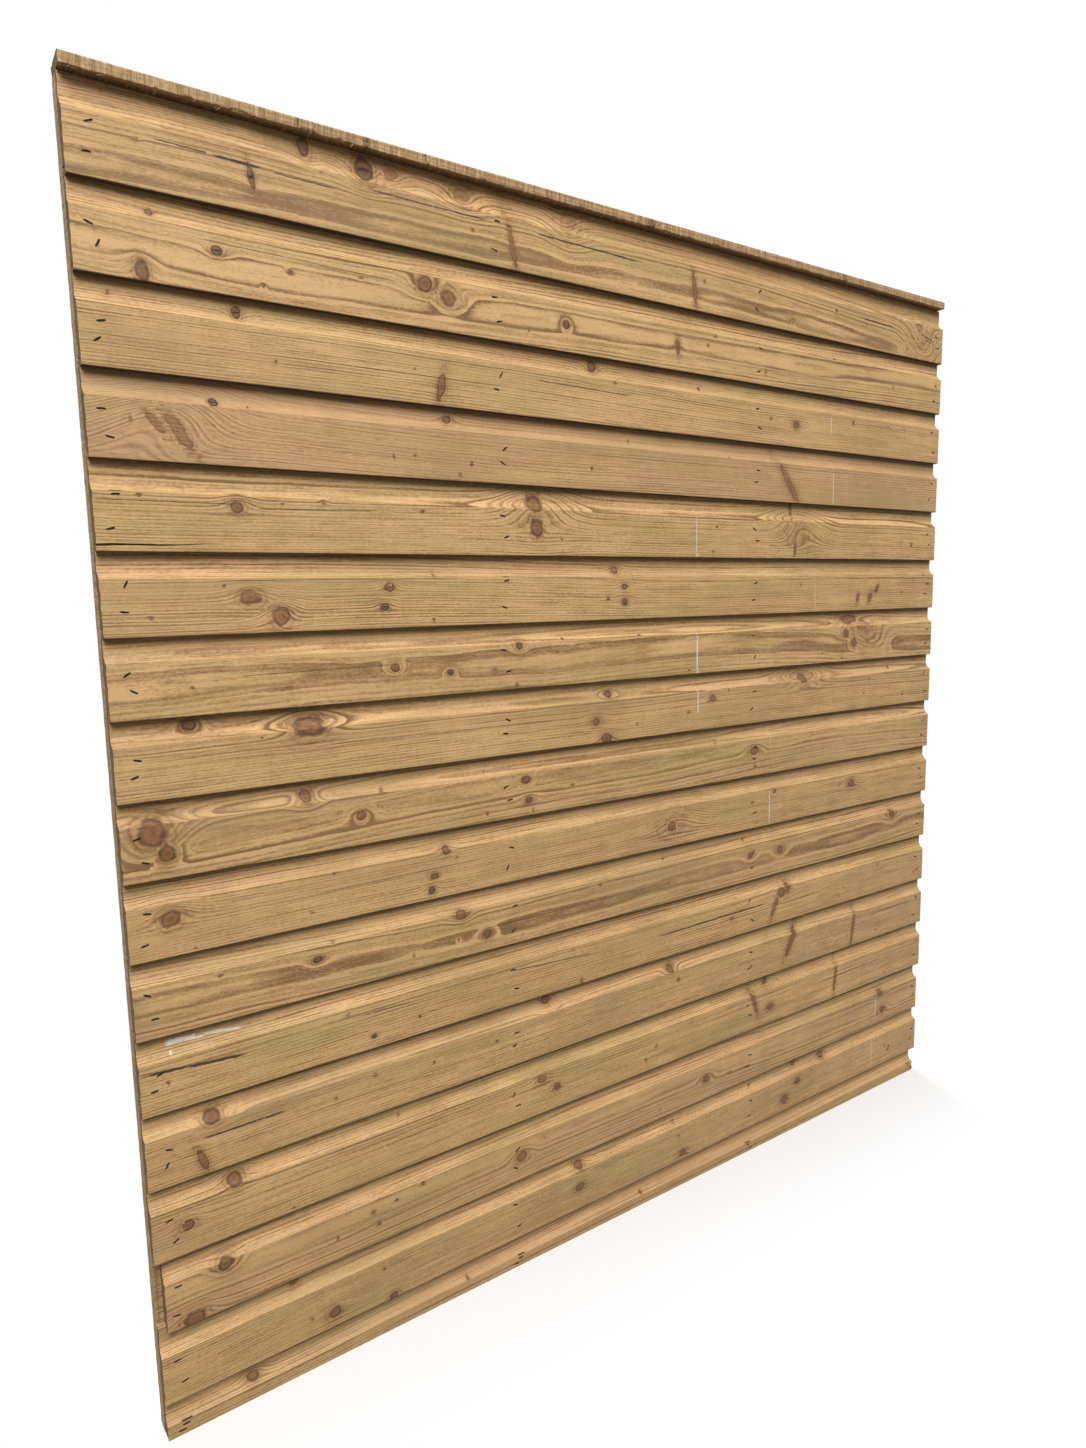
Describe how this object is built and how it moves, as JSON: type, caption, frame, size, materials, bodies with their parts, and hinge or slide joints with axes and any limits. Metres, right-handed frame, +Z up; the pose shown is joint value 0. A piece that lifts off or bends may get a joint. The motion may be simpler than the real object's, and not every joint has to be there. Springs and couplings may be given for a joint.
{
  "type": "weatherboard fence panel",
  "caption": "Flat timber fence panel of lapped horizontal weatherboards stapled to uprights, with a capping rail along the top.",
  "frame": {"origin": "middle of the panel's footprint, at the bottom of its box", "axes": "+X along the boards to the right, +Y from the weather face to the back, +Z up"},
  "size_m": [1.83, 0.051, 1.871],
  "materials": {
    "treated_softwood": "planed, pressure treated",
    "sawn_softwood": "rough sawn, pressure treated",
    "zinc_wire": "dull zinc"
  },
  "bodies": {
    "root": {"weatherboard_01": "treated_softwood", "weatherboard_02": "treated_softwood", "weatherboard_03": "treated_softwood", "weatherboard_04": "treated_softwood", "weatherboard_05": "treated_softwood", "weatherboard_06": "treated_softwood", "weatherboard_07": "treated_softwood", "weatherboard_08": "treated_softwood", "weatherboard_09": "treated_softwood", "weatherboard_10": "treated_softwood", "weatherboard_11": "treated_softwood", "weatherboard_12": "treated_softwood", "weatherboard_13": "treated_softwood", "weatherboard_14": "treated_softwood", "weatherboard_15": "treated_softwood", "weatherboard_16": "treated_softwood", "weatherboard_17": "treated_softwood", "left_stile": "sawn_softwood", "left_batten": "sawn_softwood", "right_batten": "sawn_softwood", "right_stile": "sawn_softwood", "capping_rail": "sawn_softwood", "left_stile_staples": "zinc_wire", "left_batten_staples": "zinc_wire", "right_batten_staples": "zinc_wire", "right_stile_staples": "zinc_wire", "capping_rail_staples": "zinc_wire"}
  },
  "joints": []
}
